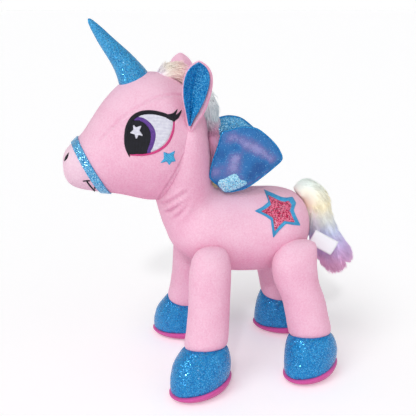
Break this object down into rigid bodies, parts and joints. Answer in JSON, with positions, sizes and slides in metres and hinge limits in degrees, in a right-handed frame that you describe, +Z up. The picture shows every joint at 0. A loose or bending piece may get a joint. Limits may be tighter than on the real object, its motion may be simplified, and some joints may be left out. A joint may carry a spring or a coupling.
{
  "type": "plush unicorn",
  "caption": "Standing plush unicorn with bending legs, turning head, folding ears, flapping wings, soft horn and liftable fur tail.",
  "frame": {"origin": "on the floor plane under the middle of the standing unicorn", "axes": "the unicorn faces -Y, its left side is +X, +Z is up to the horn"},
  "size_m": [0.1684, 0.2888, 0.3422],
  "materials": {
    "white_fibre": "loose polyester fibre",
    "pink_pile": "short soft pile",
    "blue_glitter": "metallic glitter fabric",
    "magenta_pile": "short soft pile",
    "pink_glitter": "coarse glitter fabric",
    "blue_thread": "satin stitch",
    "white_satin": "woven satin",
    "rainbow_fur": "long soft fur, dyed in pastel bands",
    "lilac_pile": "short soft pile",
    "black_thread": "satin stitch",
    "white_thread": "satin stitch",
    "purple_thread": "satin stitch",
    "wing_foil": "iridescent foil fabric",
    "pale_glitter": "fine glitter fabric"
  },
  "bodies": {
    "torso": {"torso_stuffing": "white_fibre", "belly_gusset": "pink_pile", "torso_panel_left": "pink_pile", "torso_panel_right": "pink_pile", "hip_star": "pink_glitter", "hip_star_border": "blue_thread", "care_label": "white_satin"},
    "neck": {"neck_stuffing": "white_fibre", "neck_cover": "pink_pile", "mane_neck": "rainbow_fur"},
    "head": {"head_stuffing": "white_fibre", "head_gusset": "pink_pile", "muzzle_cover": "lilac_pile", "head_panel_left": "pink_pile", "head_panel_right": "pink_pile", "noseband": "blue_glitter", "eye_left_lid": "black_thread", "eye_left_white": "white_thread", "eye_left_iris": "purple_thread", "eye_left_pupil": "black_thread", "cheek_star_left": "blue_thread", "nostril_left": "black_thread", "eye_right_lid": "black_thread", "eye_right_white": "white_thread", "eye_right_iris": "purple_thread", "eye_right_pupil": "black_thread", "cheek_star_right": "blue_thread", "nostril_right": "black_thread", "mane_forelock": "rainbow_fur", "mane_crest": "rainbow_fur"},
    "horn": {"horn_stuffing": "white_fibre", "horn_cover": "blue_glitter"},
    "ear_left": {"ear_left_back": "pink_pile", "ear_left_lining": "blue_glitter"},
    "ear_right": {"ear_right_back": "pink_pile", "ear_right_lining": "blue_glitter"},
    "wing_left": {"wing_left_outer": "wing_foil", "wing_left_inner": "pale_glitter", "wing_left_feather": "blue_glitter"},
    "wing_right": {"wing_right_outer": "wing_foil", "wing_right_inner": "pale_glitter", "wing_right_feather": "blue_glitter"},
    "leg_front_left": {"leg_front_left_stuffing": "white_fibre", "leg_front_left_cover": "pink_pile", "leg_front_left_hoof": "blue_glitter", "leg_front_left_sole": "magenta_pile"},
    "leg_front_right": {"leg_front_right_stuffing": "white_fibre", "leg_front_right_cover": "pink_pile", "leg_front_right_hoof": "blue_glitter", "leg_front_right_sole": "magenta_pile"},
    "leg_rear_left": {"leg_rear_left_stuffing": "white_fibre", "leg_rear_left_cover": "pink_pile", "leg_rear_left_hoof": "blue_glitter", "leg_rear_left_sole": "magenta_pile"},
    "leg_rear_right": {"leg_rear_right_stuffing": "white_fibre", "leg_rear_right_cover": "pink_pile", "leg_rear_right_hoof": "blue_glitter", "leg_rear_right_sole": "magenta_pile"},
    "tail": {"tail_fur": "rainbow_fur"}
  },
  "joints": [
    {"name": "neck_bend", "type": "hinge", "parent": "torso", "child": "neck", "pos_m": [0, -0.02338, 0.15236], "axis": [1, 0, 0], "range_deg": [-6, 15], "stiffness_Nm_per_rad": 2},
    {"name": "head_turn", "type": "hinge", "parent": "neck", "child": "head", "pos_m": [0, -0.03339, 0.21557], "axis": [0, -0.1564, 0.9877], "range_deg": [-20, 20], "stiffness_Nm_per_rad": 1},
    {"name": "horn_bend", "type": "hinge", "parent": "head", "child": "horn", "pos_m": [0, -0.07723, 0.29093], "axis": [1, 0, 0], "range_deg": [-12, 12], "stiffness_Nm_per_rad": 0.06},
    {"name": "ear_left_fold", "type": "hinge", "parent": "head", "child": "ear_left", "pos_m": [0.03456, -0.03065, 0.26037], "axis": [0, 1, 0], "range_deg": [-20, 25], "stiffness_Nm_per_rad": 0.012},
    {"name": "wing_left_flap", "type": "hinge", "parent": "torso", "child": "wing_left", "pos_m": [0.018, 0.01808, 0.18401], "axis": [0, 1, 0], "range_deg": [-5, 45], "stiffness_Nm_per_rad": 0.05},
    {"name": "leg_front_left_swing", "type": "hinge", "parent": "torso", "child": "leg_front_left", "pos_m": [0.054, -0.01654, 0.12], "axis": [1, 0, 0], "range_deg": [-25, 12], "stiffness_Nm_per_rad": 0.5},
    {"name": "leg_rear_left_swing", "type": "hinge", "parent": "torso", "child": "leg_rear_left", "pos_m": [0.051, 0.06646, 0.12], "axis": [1, 0, 0], "range_deg": [-12, 25], "stiffness_Nm_per_rad": 0.5},
    {"name": "ear_right_fold", "type": "hinge", "parent": "head", "child": "ear_right", "pos_m": [-0.03456, -0.03065, 0.26024], "axis": [0, -1, 0], "range_deg": [-20, 25], "stiffness_Nm_per_rad": 0.012},
    {"name": "wing_right_flap", "type": "hinge", "parent": "torso", "child": "wing_right", "pos_m": [-0.018, 0.01808, 0.18398], "axis": [0, -1, 0], "range_deg": [-5, 45], "stiffness_Nm_per_rad": 0.05},
    {"name": "leg_front_right_swing", "type": "hinge", "parent": "torso", "child": "leg_front_right", "pos_m": [-0.054, -0.01654, 0.12], "axis": [1, 0, 0], "range_deg": [-25, 12], "stiffness_Nm_per_rad": 0.5},
    {"name": "leg_rear_right_swing", "type": "hinge", "parent": "torso", "child": "leg_rear_right", "pos_m": [-0.051, 0.06646, 0.12], "axis": [1, 0, 0], "range_deg": [-12, 25], "stiffness_Nm_per_rad": 0.5},
    {"name": "tail_lift", "type": "hinge", "parent": "torso", "child": "tail", "pos_m": [0, 0.08922, 0.1762], "axis": [1, 0, 0], "range_deg": [0, 35]}
  ]
}
